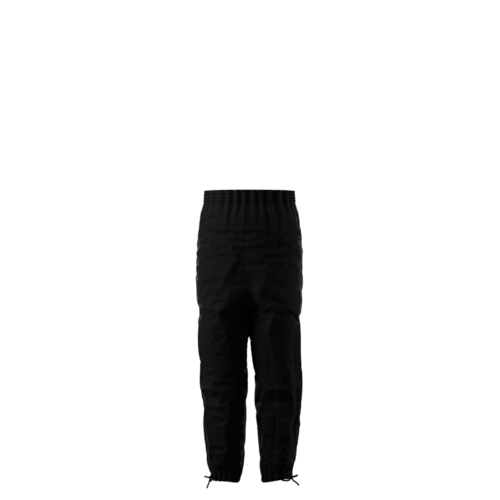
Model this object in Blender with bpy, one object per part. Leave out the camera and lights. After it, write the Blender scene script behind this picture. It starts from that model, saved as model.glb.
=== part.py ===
"""Samue trousers: loose black work trousers with an elastic waist and tied ankles.

The garment is modelled as it is worn, hollow, with nobody in it. Metres, +Z up, the wearer faces -Y.
Left and right are the wearer's: the left leg is at +X. The origin is the middle of the waistband.
Each leg is a front and a back panel, which meet at the side seam, the inseam and the centre seam.
"""

import math

import bpy
import numpy as np

MM = 0.001

# Driving sizes, in metres.
WALL = 2.0 * MM                 # cloth of a leg panel
SEAM_GAP = 0.2 * MM             # each panel stops this far short of its seam line
PIECE_GAP = 0.3 * MM            # between a panel and the band or casing that it is sewn to
BAND_TOP = 20 * MM              # waistband, 40 mm high, about the origin
BAND_BOTTOM = -20 * MM
BAND_WALL = 3.2 * MM            # two layers of cloth round the elastic
CASING_TOP = -964 * MM          # hem casing, 20 mm high
CASING_BOTTOM = -984 * MM
CASING_WALL = 3.4 * MM          # two layers of cloth round the cord
WAIST_GATHERS = 8               # on each of the four panels
ANKLE_GATHERS = 16              # round each leg
COLUMNS = 16                    # mesh columns across a panel, twice as many at its gathered ends
CORD_DIAMETER = 6 * MM
CORD_STEP = 6 * MM              # from one point to the next along a cord
KNOT_GAP = 0.3 * MM             # from a knot to the cords that leave it
FOLD_RADIUS = 100 * MM          # turns a fold's angle round the leg into a distance

SIDES = {"left": 1, "right": -1}
FACES = {"front": 1, "back": -1}

# The garment's sections, top to bottom, in millimetres. outer and inner are distances from the centre
# plane of a leg's outer and inner edge; an inner edge below zero lies past the centre plane, where the
# two legs are one. front and back are the depths before and behind the side seam, mid the seam's own y.
# square is the section's exponent: 2 is an ellipse, and more is flatter.
SECTION_COLUMNS = (
    "z", "left_outer", "left_inner", "right_outer", "right_inner", "front", "back", "mid", "square")
SECTIONS = (
    (20, 153, -153, 153, -153, 107, 112, 0, 2.2),
    (-20, 156, -156, 156, -156, 109, 115, 0, 2.2),
    (-60, 168, -163, 168, -163, 119, 128, 1, 2.25),
    (-120, 178, -166, 178, -166, 126, 142, 3, 2.3),
    (-200, 184, -158, 184, -158, 129, 150, 5, 2.35),
    (-270, 184, -124, 184, -124, 131, 147, 5, 2.35),
    (-320, 182, -80, 182, -80, 130, 138, 3, 2.3),
    (-360, 180, -34, 180, -34, 127, 128, 1, 2.25),
    (-390, 177, 1.3, 177, 1.3, 123, 122, 0, 2.2),
    (-434, 173.5, 1.4, 175.8, 1.4, 119, 120, -2, 2.2),
    (-470, 174.0, 1.6, 175.2, 2.6, 115, 118, -3, 2.2),
    (-516, 174.5, 3.4, 174.0, 7.7, 110, 114, -5, 2.2),
    (-558, 175.3, 8.7, 171.3, 8.7, 105, 110, -6, 2.15),
    (-600, 176.6, 14.7, 166.4, 8.7, 101, 106, -7, 2.1),
    (-641, 176.9, 18.5, 166.2, 9.2, 97, 103, -7, 2.1),
    (-682, 177.2, 19.2, 163.9, 7.4, 94, 101, -5, 2.1),
    (-744, 177.3, 22.6, 160.5, 9.1, 90, 99, -1, 2.1),
    (-806, 171.6, 27.3, 157.6, 11.5, 86, 97, 2, 2.1),
    (-848, 166.9, 28.9, 154.8, 12.9, 82, 93, 3, 2.1),
    (-889, 160.8, 31.2, 150.5, 16.3, 76, 86, 3, 2.1),
    (-920, 157.4, 33.6, 145.6, 20.8, 69, 77, 2, 2.1),
    (-945, 152.0, 38.0, 138.0, 26.5, 61, 67, 1, 2.05),
    (-964, 146.5, 42.0, 130.5, 31.5, 54, 59, 0, 2.0),
    (-984, 143.5, 45.0, 126.0, 41.0, 50, 55, 0, 2.0),
)

# How far the hem is lifted off the level, in millimetres: all round, more at the tied outer side,
# and more at the front and back than at the sides.
HEM_LIFT = {
    "left": {"round": 8.5, "outer": 8.5, "front": 4.5},
    "right": {"round": 3.5, "outer": 3.5, "front": 6.5},
}

# The largest folds. Each is a soft ridge, or a trough where height is below zero, along a line on a leg.
# turn is the angle round the leg in degrees: 0 at the side seam, 90 at the front, -90 at the back and
# 180 at the inseam. Heights, widths and z are in millimetres. lean widens the side with the larger turn.
FOLD_COLUMNS = ("side", "turn_top", "z_top", "turn_end", "z_end", "width", "height", "lean")
FOLDS = (
    # right leg: the long fold from the outer thigh past the knee to the ankle tie, and its trough
    ("right", 14, -400, 30, -690, 15, 4.5, 1.5),
    ("right", 30, -640, 52, -945, 15, 6.0, 1.4),
    ("right", 8, -640, 26, -930, 15, -4.5, 1.0),
    # right leg: the knee crease and the hollow under it, and the dent over the knee
    ("right", 18, -655, 88, -668, 13, 4.5, 1.0),
    ("right", 26, -690, 74, -694, 14, -4.0, 1.0),
    ("right", -30, -556, 32, -566, 14, -3.0, 1.0),
    # right leg: soft falls down the front of the thigh and shin
    ("right", 74, -150, 96, -520, 22, 4.5, 1.2),
    ("right", 110, -250, 132, -600, 20, -4.0, 1.3),
    ("right", 98, -700, 84, -945, 18, 4.5, 1.3),
    ("right", 136, -640, 128, -930, 18, 4.0, 1.2),
    ("right", 116, -760, 108, -950, 15, -3.5, 1.0),
    # left leg: the same falls, unevenly
    ("left", 22, -330, 16, -760, 18, 4.0, 1.4),
    ("left", 44, -430, 40, -900, 18, -4.5, 1.2),
    ("left", 66, -560, 60, -945, 17, 5.5, 1.3),
    ("left", 84, -140, 104, -560, 22, 5.0, 1.2),
    ("left", 112, -480, 96, -930, 20, -4.0, 1.2),
    ("left", 134, -590, 126, -940, 17, 4.5, 1.2),
    ("left", 60, -650, 132, -676, 15, 3.5, 1.0),
    ("left", 72, -700, 118, -708, 14, -3.0, 1.0),
    ("left", 178, -772, -150, -800, 12, -3.0, 1.0),
    # drag lines from the crotch across the front
    ("left", 158, -372, 82, -296, 15, 4.5, 1.0),
    ("left", 160, -408, 78, -352, 14, 4.0, 1.0),
    ("right", 158, -376, 86, -310, 15, 4.5, 1.0),
    ("right", 160, -414, 74, -372, 14, 3.5, 1.0),
    # back: folds under the seat, falls down the thigh, and creases behind the knee
    ("left", -150, -352, -66, -330, 18, 5.0, 1.0),
    ("left", -152, -392, -50, -384, 16, 4.5, 1.0),
    ("right", -150, -356, -60, -322, 18, 5.0, 1.0),
    ("right", -152, -398, -56, -392, 16, 4.5, 1.0),
    ("left", -70, -410, -84, -640, 22, 5.0, 1.2),
    ("right", -104, -420, -88, -630, 22, 5.0, 1.2),
    ("left", -40, -640, -140, -662, 14, 4.5, 1.0),
    ("left", -52, -690, -132, -682, 14, -4.0, 1.0),
    ("right", -46, -652, -138, -640, 14, 4.5, 1.0),
    ("right", -60, -684, -128, -690, 14, -4.0, 1.0),
    ("left", -96, -700, -80, -940, 20, 5.5, 1.3),
    ("left", -60, -720, -48, -935, 18, -4.5, 1.2),
    ("left", -134, -730, -124, -940, 18, 4.5, 1.2),
    ("right", -78, -700, -94, -940, 20, 5.5, 1.3),
    ("right", -40, -700, -36, -940, 17, 4.5, 1.2),
    ("right", -120, -720, -128, -935, 18, -4.0, 1.2),
)

# The ankle cord of each leg comes out of its casing at the outer front and is tied there in a bow.
# A knot's place and all routes are in millimetres; a route's points are (forward, outward, up) from the
# knot's middle, where forward runs round the leg to its front. A loop's route ends at the knot again.
KNOT_HALF = (8, 6.5, 7.5)
KNOTS = {
    "left": {"place": (141.9, -35.5, -961), "turn": 37},
    "right": {"place": (-133, -26.2, -965), "turn": 28},
}
CORD_ROUTES = {
    "left": {
        "loop_front": ((11, 3, 11), (17, 5, 17), (25, 4, 18), (32, 0, 12), (31, -3, 3), (23, -1, -2),
                       (14, 1, -2)),
        "loop_back": ((-3, 12, 4), (-10, 16, 6), (-18, 14, 5), (-24, 8, 2), (-24, 0, -1), (-18, -4, -3),
                      (-12, -3, -4)),
        "tail_front": ((6, -2, -9), (11, -4, -10.5), (17, -6, -10.5), (24, -8, -9.5), (30, -11, -8),
                       (34, -14, -6.5)),
        "tail_back": ((-3, 8, -11), (-7, 12, -15), (-11, 16, -19.5), (-14, 20, -24), (-16, 22, -28)),
    },
    "right": {
        "loop_front": ((11, 3, 11), (17, 5, 17), (25, 3, 18), (31, -1, 12), (30, -4, 3), (23, -3, -3),
                       (14, 0, -3)),
        "loop_back": ((-3, 12, 3), (-9, 15.5, 4), (-17, 14, 3), (-23, 8, 1), (-24, 0, -1), (-18, -4, -3),
                      (-12, -3, -3)),
        "tail_front": ((1, 6, -12), (1, 8, -18), (1, 11, -24), (0, 13, -30), (0, 15, -34.5)),
        "tail_back": ((-5, -4, -11.5), (-10, -6, -13.5), (-17, -9, -13.5), (-25, -14, -11.5), (-32, -19, -9)),
    },
}


def smooth_columns():
    """The section table as arrays of metres, with a slope at each row that never overshoots."""
    table = {}
    rows = np.array(SECTIONS, float)[::-1]
    z = rows[:, 0] * MM
    for k, name in enumerate(SECTION_COLUMNS):
        value = rows[:, k] * (1.0 if name == "square" else MM)
        step = np.diff(value) / np.diff(z)
        slope = np.zeros(len(z))
        slope[0], slope[-1] = step[0], step[-1]
        same = step[:-1] * step[1:] > 0
        safe = np.where(same, step[:-1] + step[1:], 1.0)
        slope[1:-1] = np.where(same, 2 * step[:-1] * step[1:] / safe, 0.0)
        table[name] = (z, value, slope)
    return table


SECTION_TABLE = smooth_columns()


def section(name, z):
    """One column of the section table at heights z."""
    at, value, slope = SECTION_TABLE[name]
    i = np.clip(np.searchsorted(at, z) - 1, 0, len(at) - 2)
    span = at[i + 1] - at[i]
    t = np.clip((z - at[i]) / span, 0.0, 1.0)
    return (value[i] * (2 * t**3 - 3 * t**2 + 1) + slope[i] * span * (t**3 - 2 * t**2 + t)
            + value[i + 1] * (3 * t**2 - 2 * t**3) + slope[i + 1] * span * (t**3 - t**2))


def ramp(low, high, x):
    """0 below low, 1 above high, and smooth between; low may be the larger."""
    t = np.clip((x - low) / (high - low), 0.0, 1.0)
    return t * t * (3 - 2 * t)


def end_turn(side, z, gap):
    """The angle round the leg at which a panel ends: at the centre plane above the crotch, at the inseam below."""
    outer, inner = section(side + "_outer", z), section(side + "_inner", z)
    square = section("square", z)
    middle, half = (outer + inner) / 2, (outer - inner) / 2
    reach = np.clip((middle - gap) / half, -1.0, 1.0)
    at_centre = np.arccos(-np.sign(reach) * np.abs(reach) ** (square / 2))
    return np.minimum(at_centre, math.pi - gap / half)


def fold_height(side, turn, z):
    """How far the folds lift the cloth off the plain section."""
    total = np.zeros(np.broadcast(turn, z).shape)
    for row in FOLDS:
        fold = dict(zip(FOLD_COLUMNS, row))
        if fold["side"] != side:
            continue
        first, last = math.radians(fold["turn_top"]), math.radians(fold["turn_end"])
        if last - first > math.pi:
            last -= 2 * math.pi
        if first - last > math.pi:
            last += 2 * math.pi
        middle = (first + last) / 2
        around = ((turn - middle + math.pi) % (2 * math.pi) - math.pi) * FOLD_RADIUS
        run = np.array([(last - first) * FOLD_RADIUS, (fold["z_end"] - fold["z_top"]) * MM])
        length = float(np.hypot(*run))
        down = z - (fold["z_top"] + fold["z_end"]) / 2 * MM
        along = (around * run[0] + down * run[1]) / length**2 + 0.5
        across = (around * run[1] - down * run[0]) / length * -np.sign(run[1])
        width = np.where(across > 0, fold["width"] * fold["lean"], fold["width"]) * MM
        fade = ramp(-0.05, 0.3, along) * ramp(1.05, 0.75, along)
        total += fold["height"] * MM * fade * np.exp(-((across / width) ** 2))
    return total


def waist_wave(side, face, u):
    """The gathers under the waistband: whole waves on each panel, with a trough at each seam, unevenly deep."""
    shift = 0.35 * np.sin(2 * math.pi * u) if face == "front" else -0.3 * np.sin(2 * math.pi * u)
    uneven = 1 + 0.3 * np.sin(math.pi * u) * np.sin(7.3 * u + SIDES[side] + 2 * FACES[face])
    return -np.cos(2 * math.pi * (WAIST_GATHERS * u + shift)) * uneven


def ankle_wave(side, turn):
    """The gathers round the ankle, unevenly spaced and deep."""
    phase = 0.9 * np.sin(turn + SIDES[side]) + 0.6 * np.sin(2 * turn + 2.1 * SIDES[side])
    return np.cos(ANKLE_GATHERS * turn + phase) * (1 + 0.25 * np.sin(3 * turn + SIDES[side]))


def base_point(side, face, turn, z):
    """A point of the plain section, with no folds."""
    outer, inner = section(side + "_outer", z), section(side + "_inner", z)
    depth, square = section(face, z), section("square", z)
    middle, half = (outer + inner) / 2, (outer - inner) / 2
    cosine, sine = np.cos(turn), np.abs(np.sin(turn))
    x = SIDES[side] * (middle + half * np.sign(cosine) * np.abs(cosine) ** (2 / square))
    y = section("mid", z) - FACES[face] * depth * sine ** (2 / square)
    return np.stack([x, y, z + 0 * x], axis=-1)


def cloth(side, face, u, z, out):
    """Points of a panel at u, 0 at the side seam and 1 at the inner seam, height z, and out along the normal."""
    u, z = np.broadcast_arrays(np.asarray(u, float), np.asarray(z, float))
    step = 0.5 * MM

    def turn_at(u, z):
        outer, inner = section(side + "_outer", z), section(side + "_inner", z)
        first = 2 * SEAM_GAP / (outer - inner)
        last = end_turn(side, z, SEAM_GAP)
        return first + u * (last - first)

    turn = turn_at(u, z)
    nudge = 0.004
    round_it = base_point(side, face, turn + nudge, z) - base_point(side, face, turn - nudge, z)
    down_it = (base_point(side, face, turn_at(u, z - step), z - step)
               - base_point(side, face, turn_at(u, z + step), z + step))
    normal = np.cross(round_it, down_it) * SIDES[side] * FACES[face]
    normal /= np.linalg.norm(normal, axis=-1, keepdims=True)

    signed = turn * FACES[face]
    # Folds die out where the two legs are joined or lie against each other.
    calm = 1 - ramp(0.84, 0.97, u) * ramp(-520 * MM, -470 * MM, z)
    height = fold_height(side, signed, z) * calm
    gathered = ramp(-150 * MM, -20 * MM, z)
    height = height + 2.6 * MM * gathered**1.6 * waist_wave(side, face, u)
    tied = ramp(-872 * MM, -964 * MM, z)
    height = height + 2.8 * MM * tied**1.4 * ankle_wave(side, signed)
    point = base_point(side, face, turn, z) + normal * (height + out)[..., None]
    return settle(side, signed, point, z)


def settle(side, turn, point, z):
    """Lifts the hem as it is tied, and lets the inner thighs lie into each other under the crotch."""
    lift = HEM_LIFT[side]
    raised = lift["round"] + lift["outer"] * np.cos(turn) + lift["front"] * np.sin(turn) ** 2
    point[..., 2] += raised * MM * ramp(-880 * MM, -964 * MM, z)
    x, y = point[..., 0], point[..., 1]
    touching = ramp(-500 * MM, -462 * MM, z) * ramp(-350 * MM, -392 * MM, z)
    sway = 8 * MM * np.sin(y * math.pi / (44 * MM)) * np.exp(-((y / (52 * MM)) ** 2))
    point[..., 0] = x + touching * sway * np.exp(-((x / (45 * MM)) ** 2))
    return point


def panel_levels():
    """(height, columns) of each mesh row down a panel. The gathered ends have twice the columns."""
    top, end = BAND_BOTTOM - PIECE_GAP, CASING_TOP + PIECE_GAP
    fine_top = [top, -45 * MM, -80 * MM, -120 * MM]
    middle = np.linspace(-150 * MM, -858 * MM, 22)
    fine_end = [-880 * MM, -902 * MM, -924 * MM, -945 * MM, end]
    return ([(z, 2 * COLUMNS) for z in fine_top] + [(float(z), COLUMNS) for z in middle]
            + [(z, 2 * COLUMNS) for z in fine_end])


def add_object(name, points, faces, material):
    mesh = bpy.data.meshes.new(name)
    mesh.from_pydata([tuple(p) for p in points], [], faces)
    mesh.validate()
    mesh.shade_smooth()
    mesh.set_sharp_from_angle(angle=math.radians(50))
    mesh.materials.append(material)
    obj = bpy.data.objects.new(name, mesh)
    bpy.context.scene.collection.objects.link(obj)
    return obj


def strip_faces(first, second, first_count, second_count):
    """Triangles between two rows of points, of which one may have twice the columns of the other."""
    faces = []
    if first_count == second_count:
        for i in range(first_count):
            a, b, c, d = first + i, first + i + 1, second + i + 1, second + i
            faces += [(a, b, c), (a, c, d)] if i % 2 else [(a, b, d), (b, c, d)]
        return faces
    for i in range(min(first_count, second_count)):
        if first_count > second_count:
            a, b, c = first + 2 * i, first + 2 * i + 1, first + 2 * i + 2
            d, e = second + i, second + i + 1
            faces += [(a, b, d), (b, e, d), (b, c, e)]
        else:
            a, b = first + i, first + i + 1
            c, d, e = second + 2 * i, second + 2 * i + 1, second + 2 * i + 2
            faces += [(a, d, c), (a, b, d), (b, e, d)]
    return faces


def make_panel(side, face, material):
    """One leg panel: an outer and an inner skin with the same triangles, closed along its four edges."""
    levels = panel_levels()
    skins = []
    for out in (0.0, -WALL):
        rows = [cloth(side, face, np.linspace(0, 1, columns + 1), np.full(columns + 1, z), out)
                for z, columns in levels]
        skins.append(np.concatenate(rows))
    starts = np.concatenate([[0], np.cumsum([columns + 1 for _, columns in levels])])
    count = int(starts[-1])
    skin = []
    for k in range(len(levels) - 1):
        skin += strip_faces(int(starts[k]), int(starts[k + 1]), levels[k][1], levels[k + 1][1])
    edge = list(range(int(starts[1])))
    edge += [int(starts[k]) + levels[k][1] for k in range(1, len(levels))]
    edge += list(range(count - 2, int(starts[-2]) - 1, -1))
    edge += [int(starts[k]) for k in range(len(levels) - 2, 0, -1)]
    faces = list(skin) + [(count + c, count + b, count + a) for a, b, c in skin]
    for a, b in zip(edge, edge[1:] + edge[:1]):
        faces += [(b, a, count + a), (b, count + a, count + b)]
    if SIDES[side] * FACES[face] < 0:
        faces = [face_points[::-1] for face_points in faces]
    return add_object(f"{face}_{side}", np.concatenate(skins), faces, material)


def make_ring(name, stations, profile, material):
    """A closed band: at each station a function gives a point from (z, out), and profile is its section."""
    points = []
    for place in stations:
        points += [place(z, out) for z, out in profile]
    per = len(profile)
    total = len(points)
    faces = []
    for k in range(len(stations)):
        for i in range(per):
            a, b = k * per + i, k * per + (i + 1) % per
            c, d = (b + per) % total, (a + per) % total
            faces += [(a, b, c), (a, c, d)]
    return add_object(name, points, faces, material)


def panel_stations(around, columns):
    """Places along the panels' edges, in order round a ring, as functions of height and distance out."""
    stations = []
    for side, face, forward in around:
        steps = range(columns) if forward else range(columns, 0, -1)
        for i in steps:
            u = i / columns
            stations.append(lambda z, out, side=side, face=face, u=u: cloth(side, face, u, z, out))
    return stations


def ring_profile(top, bottom, wall, swell):
    """The section of a folded band, from its outer top edge round to its inner top edge."""
    middle = (top + bottom) / 2
    return ((top, 0.0), (middle, swell), (bottom, 0.0),
            (bottom, -wall), (middle, -wall - swell / 2), (top, -wall))


def make_waistband(material):
    around = (("left", "front", False), ("left", "back", True),
              ("right", "back", False), ("right", "front", True))
    stations = panel_stations(around, 2 * COLUMNS)
    profile = ring_profile(BAND_TOP, BAND_BOTTOM, BAND_WALL, 0.8 * MM)
    return make_ring("waistband", stations, profile, material)


def make_casing(side, material):
    around = ((side, "front", True), (side, "back", False))
    if side == "left":
        around = ((side, "front", False), (side, "back", True))
    stations = panel_stations(around, 2 * COLUMNS)
    profile = ring_profile(CASING_TOP, CASING_BOTTOM, CASING_WALL, 1.4 * MM)
    return make_ring(f"hem_casing_{side}", stations, profile, material)


def knot_frame(side):
    """The knot's middle, and its forward, outward and up directions as rows."""
    turn = math.radians(KNOTS[side]["turn"])
    outward = np.array([SIDES[side] * math.cos(turn), -math.sin(turn), 0.0])
    forward = np.array([-SIDES[side] * math.sin(turn), -math.cos(turn), 0.0])
    return np.array(KNOTS[side]["place"]) * MM, np.array([forward, outward, [0.0, 0.0, 1.0]])


def make_knot(side, material):
    """The bow's knot: a flattened ball with the shallow furrows of the cord's turns."""
    middle, axes = knot_frame(side)
    rings, segments = 7, 12
    points = [(0.0, 0.0, 1.0)]
    for k in range(1, rings):
        polar = math.pi * k / rings
        for i in range(segments):
            around = 2 * math.pi * i / segments
            points.append((math.sin(polar) * math.cos(around), math.sin(polar) * math.sin(around),
                           math.cos(polar)))
    points.append((0.0, 0.0, -1.0))
    last = len(points) - 1
    faces = [(0, 1 + i, 1 + (i + 1) % segments) for i in range(segments)]
    for k in range(rings - 2):
        for i in range(segments):
            a, b = 1 + k * segments + i, 1 + k * segments + (i + 1) % segments
            faces += [(a, a + segments, b + segments), (a, b + segments, b)]
    faces += [(last, last - segments + (i + 1) % segments, last - segments + i) for i in range(segments)]
    local = np.array(points)
    furrow = 1 - 0.07 * np.cos(3 * math.pi * local[:, 2] + 1.5 * local[:, 0]) ** 2
    local = local * furrow[:, None] * np.array(KNOT_HALF) * MM
    if SIDES[side] < 0:
        faces = [corners[::-1] for corners in faces]
    return add_object(f"tie_{side}_knot", middle + local @ axes, faces, material)


def knot_exit(toward):
    """The point just off the knot's surface on the line from its middle to a route's first or last point."""
    half = np.array(KNOT_HALF) * MM
    reach = 1 / np.linalg.norm(toward / half)
    return toward * (reach + KNOT_GAP / np.linalg.norm(toward))


def smooth_route(points, spacing):
    """Points at an even spacing along a smooth curve through the given ones."""
    points = np.array(points)
    padded = np.concatenate([2 * points[:1] - points[1:2], points, 2 * points[-1:] - points[-2:-1]])
    fine = []
    for p, q, r, s in zip(padded, padded[1:], padded[2:], padded[3:]):
        for t in np.linspace(0, 1, 20, endpoint=False):
            fine.append(0.5 * (2 * q + (r - p) * t + (2 * p - 5 * q + 4 * r - s) * t**2
                               + (3 * q - p - 3 * r + s) * t**3))
    fine = np.array(fine + [points[-1]])
    travelled = np.concatenate([[0], np.cumsum(np.linalg.norm(np.diff(fine, axis=0), axis=1))])
    count = max(4, round(travelled[-1] / spacing) + 1)
    at = np.linspace(0, travelled[-1], count)
    return np.stack([np.interp(at, travelled, fine[:, k]) for k in range(3)], axis=1)


def make_cord(side, name, material):
    """One loop or tail of the bow, a round cord along its route."""
    middle, axes = knot_frame(side)
    route = list(np.array(CORD_ROUTES[side][name]) * MM)
    ends = [knot_exit(route[0])]
    if name.startswith("loop"):
        ends.append(knot_exit(route[-1]))
    route = ends[:1] + route + ends[1:]
    points = middle + smooth_route(route, CORD_STEP) @ axes
    curve = bpy.data.curves.new(f"tie_{side}_{name}", "CURVE")
    curve.dimensions = "3D"
    curve.bevel_depth = CORD_DIAMETER / 2
    curve.bevel_resolution = 2
    curve.use_fill_caps = True
    spline = curve.splines.new("POLY")
    spline.points.add(len(points) - 1)
    for point, at in zip(spline.points, points):
        point.co = (*at, 1)
    curve.materials.append(material)
    obj = bpy.data.objects.new(f"tie_{side}_{name}", curve)
    bpy.context.scene.collection.objects.link(obj)
    return obj


def clear_scene():
    for obj in list(bpy.data.objects):
        bpy.data.objects.remove(obj)


def textile(name, colour, roughness):
    material = bpy.data.materials.new(name)
    material.use_nodes = True
    shader = material.node_tree.nodes["Principled BSDF"]
    shader.inputs["Base Color"].default_value = (*colour, 1)
    shader.inputs["Roughness"].default_value = roughness
    return material


def main():
    clear_scene()
    cotton = textile("black cotton", (0.012, 0.011, 0.013), 0.9)
    cord = textile("black cotton cord", (0.010, 0.009, 0.011), 0.85)
    for side in SIDES:
        for face in FACES:
            make_panel(side, face, cotton)
    make_waistband(cotton)
    for side in SIDES:
        make_casing(side, cotton)
        make_knot(side, cord)
        for name in CORD_ROUTES[side]:
            make_cord(side, name, cord)


main()
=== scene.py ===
import math

import bpy
import numpy as np
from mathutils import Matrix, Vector


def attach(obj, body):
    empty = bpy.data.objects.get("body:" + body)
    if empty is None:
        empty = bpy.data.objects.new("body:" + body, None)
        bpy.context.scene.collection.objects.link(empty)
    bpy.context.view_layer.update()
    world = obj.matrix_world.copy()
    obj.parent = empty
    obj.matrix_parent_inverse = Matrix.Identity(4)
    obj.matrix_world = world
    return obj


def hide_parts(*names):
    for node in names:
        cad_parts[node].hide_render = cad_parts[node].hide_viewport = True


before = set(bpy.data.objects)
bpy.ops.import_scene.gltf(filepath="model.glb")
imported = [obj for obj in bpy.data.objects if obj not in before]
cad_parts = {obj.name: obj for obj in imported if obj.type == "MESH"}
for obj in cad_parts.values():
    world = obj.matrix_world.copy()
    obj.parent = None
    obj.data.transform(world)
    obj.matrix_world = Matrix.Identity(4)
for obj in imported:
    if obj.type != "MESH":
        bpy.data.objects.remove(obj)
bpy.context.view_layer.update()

# Leg panels
# Two front and two back pieces of slubbed plain-weave cotton, dyed black, cut straight and full.
# They are joined by felled side seams, inseams and centre seams, gathered onto the waistband and
# into the hem casings. The form is the one that they hang in when worn.
MM = 0.001
FULL_TURN = 2 * math.pi
SIDES = {"left": 1, "right": -1}
FACES = {"front": 1, "back": -1}

# Each section of the legs in millimetres: how far its outer and inner edges lie from the centre plane,
# how deep it is before and behind the side seam, the seam's y, and the exponent of its rounding.
SECTION_COLUMNS = (
    "z", "left_outer", "left_inner", "right_outer", "right_inner", "front", "back", "mid", "square")
SECTIONS = (
    (20, 153, -153, 153, -153, 107, 112, 0, 2.2),
    (-20, 156, -156, 156, -156, 109, 115, 0, 2.2),
    (-60, 168, -163, 168, -163, 119, 128, 1, 2.25),
    (-120, 178, -166, 178, -166, 126, 142, 3, 2.3),
    (-200, 184, -158, 184, -158, 129, 150, 5, 2.35),
    (-270, 184, -124, 184, -124, 131, 147, 5, 2.35),
    (-320, 182, -80, 182, -80, 130, 138, 3, 2.3),
    (-360, 180, -34, 180, -34, 127, 128, 1, 2.25),
    (-390, 177, 1.3, 177, 1.3, 123, 122, 0, 2.2),
    (-434, 173.5, 1.4, 175.8, 1.4, 119, 120, -2, 2.2),
    (-470, 174.0, 1.6, 175.2, 2.6, 115, 118, -3, 2.2),
    (-516, 174.5, 3.4, 174.0, 7.7, 110, 114, -5, 2.2),
    (-558, 175.3, 8.7, 171.3, 8.7, 105, 110, -6, 2.15),
    (-600, 176.6, 14.7, 166.4, 8.7, 101, 106, -7, 2.1),
    (-641, 176.9, 18.5, 166.2, 9.2, 97, 103, -7, 2.1),
    (-682, 177.2, 19.2, 163.9, 7.4, 94, 101, -5, 2.1),
    (-744, 177.3, 22.6, 160.5, 9.1, 90, 99, -1, 2.1),
    (-806, 171.6, 27.3, 157.6, 11.5, 86, 97, 2, 2.1),
    (-848, 166.9, 28.9, 154.8, 12.9, 82, 93, 3, 2.1),
    (-889, 160.8, 31.2, 150.5, 16.3, 76, 86, 3, 2.1),
    (-920, 157.4, 33.6, 145.6, 20.8, 69, 77, 2, 2.1),
    (-945, 152.0, 38.0, 138.0, 26.5, 61, 67, 1, 2.05),
    (-964, 146.5, 42.0, 130.5, 31.5, 54, 59, 0, 2.0),
    (-984, 143.5, 45.0, 126.0, 41.0, 50, 55, 0, 2.0),
)
# How far the hem is raised in millimetres: all round, at the outer side, and at the front and back.
HEM_LIFT = {
    "left": {"round": 8.5, "outer": 8.5, "front": 4.5},
    "right": {"round": 3.5, "outer": 3.5, "front": 6.5},
}

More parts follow.
